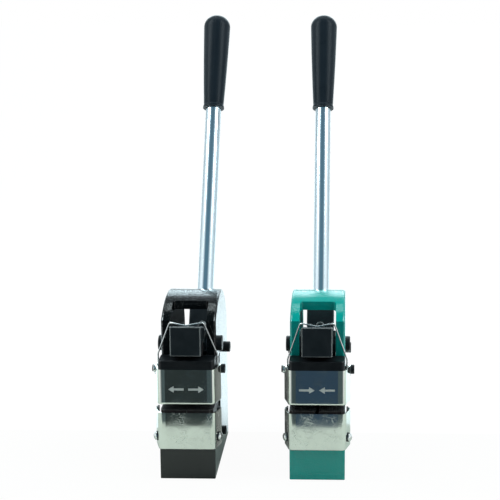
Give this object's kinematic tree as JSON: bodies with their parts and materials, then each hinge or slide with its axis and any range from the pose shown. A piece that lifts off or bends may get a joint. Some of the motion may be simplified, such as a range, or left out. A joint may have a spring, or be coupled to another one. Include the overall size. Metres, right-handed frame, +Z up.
{
  "type": "sheet metal shrinker and stretcher",
  "caption": "Bench tools that shrink or stretch a sheet metal edge: a lever through a cast arch presses serrated sliding jaws together.",
  "frame": {"origin": "centre of the four bench bolts, midway between the two tools at bench level", "axes": "+Z up, -Y out of the jaws' front towards the user, +X from the stretcher to the shrinker"},
  "size_m": [0.1829, 0.2863, 0.4114],
  "materials": {
    "cast_black": "gloss",
    "cast_teal": "gloss",
    "black_oxide": "satin",
    "forged_black": "satin",
    "nickel_sheet": "polished",
    "bright_steel": "polished",
    "spring_steel": "satin",
    "jaw_steel": "satin",
    "zinc_rod": "polished",
    "black_grip": "gloss"
  },
  "bodies": {
    "castings": {"stretcher_frame": "cast_black", "stretcher_pivot_pin": "black_oxide", "stretcher_pivot_cap": "black_oxide", "stretcher_stop_bolt": "black_oxide", "stretcher_stop_nut": "black_oxide", "stretcher_lower_holder": "black_oxide", "stretcher_holder_bolt": "black_oxide", "stretcher_holder_nut": "black_oxide", "stretcher_lower_cover": "nickel_sheet", "stretcher_cover_screws": "bright_steel", "stretcher_cover_washers": "black_oxide", "stretcher_lower_jaw_spring": "spring_steel", "shrinker_frame": "cast_teal", "shrinker_pivot_pin": "black_oxide", "shrinker_pivot_cap": "black_oxide", "shrinker_stop_bolt": "black_oxide", "shrinker_stop_nut": "black_oxide", "shrinker_lower_holder": "black_oxide", "shrinker_holder_bolt": "black_oxide", "shrinker_holder_nut": "black_oxide", "shrinker_lower_cover": "nickel_sheet", "shrinker_cover_screws": "bright_steel", "shrinker_cover_washers": "black_oxide", "shrinker_lower_jaw_spring": "spring_steel"},
    "stretcher_lever_body": {"stretcher_lever": "forged_black", "stretcher_nose_pad": "jaw_steel", "stretcher_set_screw": "black_oxide", "stretcher_handle_rod": "zinc_rod", "stretcher_grip": "black_grip"},
    "stretcher_ram_body": {"stretcher_ram": "black_oxide", "stretcher_upper_cover": "nickel_sheet", "stretcher_upper_pin": "black_oxide", "stretcher_upper_pin_clip": "black_oxide", "stretcher_bail_wire": "spring_steel", "stretcher_upper_jaw_spring": "spring_steel"},
    "stretcher_upper_jaw_left_body": {"stretcher_upper_jaw_left": "jaw_steel"},
    "stretcher_upper_jaw_right_body": {"stretcher_upper_jaw_right": "jaw_steel"},
    "stretcher_lower_jaw_left_body": {"stretcher_lower_jaw_left": "jaw_steel"},
    "stretcher_lower_jaw_right_body": {"stretcher_lower_jaw_right": "jaw_steel"},
    "shrinker_lever_body": {"shrinker_lever": "forged_black", "shrinker_nose_pad": "jaw_steel", "shrinker_set_screw": "black_oxide", "shrinker_handle_rod": "zinc_rod", "shrinker_grip": "black_grip"},
    "shrinker_ram_body": {"shrinker_ram": "black_oxide", "shrinker_upper_cover": "nickel_sheet", "shrinker_upper_pin": "black_oxide", "shrinker_upper_pin_clip": "black_oxide", "shrinker_bail_wire": "spring_steel", "shrinker_upper_jaw_spring": "spring_steel"},
    "shrinker_upper_jaw_left_body": {"shrinker_upper_jaw_left": "jaw_steel"},
    "shrinker_upper_jaw_right_body": {"shrinker_upper_jaw_right": "jaw_steel"},
    "shrinker_lower_jaw_left_body": {"shrinker_lower_jaw_left": "jaw_steel"},
    "shrinker_lower_jaw_right_body": {"shrinker_lower_jaw_right": "jaw_steel"}
  },
  "joints": [
    {"name": "stretcher_lever_pull", "type": "hinge", "parent": "castings", "child": "stretcher_lever_body", "pos_m": [-0.0585, -0.023, 0.118], "axis": [1, 0, 0], "range_deg": [0, 16]},
    {"name": "stretcher_ram_slide", "type": "slide", "parent": "castings", "child": "stretcher_ram_body", "axis": [0, 0, -1], "range_m": [0, 0.0051]},
    {"name": "stretcher_upper_jaw_left_slide", "type": "slide", "parent": "stretcher_ram_body", "child": "stretcher_upper_jaw_left_body", "axis": [-0.9397, 0, 0.342], "range_m": [0, 0.0015]},
    {"name": "stretcher_upper_jaw_right_slide", "type": "slide", "parent": "stretcher_ram_body", "child": "stretcher_upper_jaw_right_body", "axis": [0.9397, 0, 0.342], "range_m": [0, 0.0015], "deforming": ["stretcher_upper_jaw_spring"]},
    {"name": "stretcher_lower_jaw_left_slide", "type": "slide", "parent": "castings", "child": "stretcher_lower_jaw_left_body", "axis": [-0.9397, 0, -0.342], "range_m": [0, 0.0015]},
    {"name": "stretcher_lower_jaw_right_slide", "type": "slide", "parent": "castings", "child": "stretcher_lower_jaw_right_body", "axis": [0.9397, 0, -0.342], "range_m": [0, 0.0015], "deforming": ["stretcher_lower_jaw_spring"]},
    {"name": "shrinker_lever_pull", "type": "hinge", "parent": "castings", "child": "shrinker_lever_body", "pos_m": [0.0585, -0.023, 0.118], "axis": [1, 0, 0], "range_deg": [0, 16]},
    {"name": "shrinker_ram_slide", "type": "slide", "parent": "castings", "child": "shrinker_ram_body", "axis": [0, 0, -1], "range_m": [0, 0.0051]},
    {"name": "shrinker_upper_jaw_left_slide", "type": "slide", "parent": "shrinker_ram_body", "child": "shrinker_upper_jaw_left_body", "axis": [0.9397, 0, 0.342], "range_m": [0, 0.0015]},
    {"name": "shrinker_upper_jaw_right_slide", "type": "slide", "parent": "shrinker_ram_body", "child": "shrinker_upper_jaw_right_body", "axis": [-0.9397, 0, 0.342], "range_m": [0, 0.0015], "deforming": ["shrinker_upper_jaw_spring"]},
    {"name": "shrinker_lower_jaw_left_slide", "type": "slide", "parent": "castings", "child": "shrinker_lower_jaw_left_body", "axis": [0.9397, 0, -0.342], "range_m": [0, 0.0015]},
    {"name": "shrinker_lower_jaw_right_slide", "type": "slide", "parent": "castings", "child": "shrinker_lower_jaw_right_body", "axis": [-0.9397, 0, -0.342], "range_m": [0, 0.0015], "deforming": ["shrinker_lower_jaw_spring"]}
  ],
  "couplings": [
    {"joint": "stretcher_ram_slide", "follows": "stretcher_lever_pull", "m_per_rad": 0.018},
    {"joint": "stretcher_upper_jaw_left_slide", "follows": "stretcher_lever_pull", "m_per_rad": 0.0053},
    {"joint": "stretcher_upper_jaw_right_slide", "follows": "stretcher_lever_pull", "m_per_rad": 0.0053},
    {"joint": "stretcher_lower_jaw_left_slide", "follows": "stretcher_lever_pull", "m_per_rad": 0.0053},
    {"joint": "stretcher_lower_jaw_right_slide", "follows": "stretcher_lever_pull", "m_per_rad": 0.0053},
    {"joint": "shrinker_ram_slide", "follows": "shrinker_lever_pull", "m_per_rad": 0.018},
    {"joint": "shrinker_upper_jaw_left_slide", "follows": "shrinker_lever_pull", "m_per_rad": 0.0053},
    {"joint": "shrinker_upper_jaw_right_slide", "follows": "shrinker_lever_pull", "m_per_rad": 0.0053},
    {"joint": "shrinker_lower_jaw_left_slide", "follows": "shrinker_lever_pull", "m_per_rad": 0.0053},
    {"joint": "shrinker_lower_jaw_right_slide", "follows": "shrinker_lever_pull", "m_per_rad": 0.0053}
  ]
}
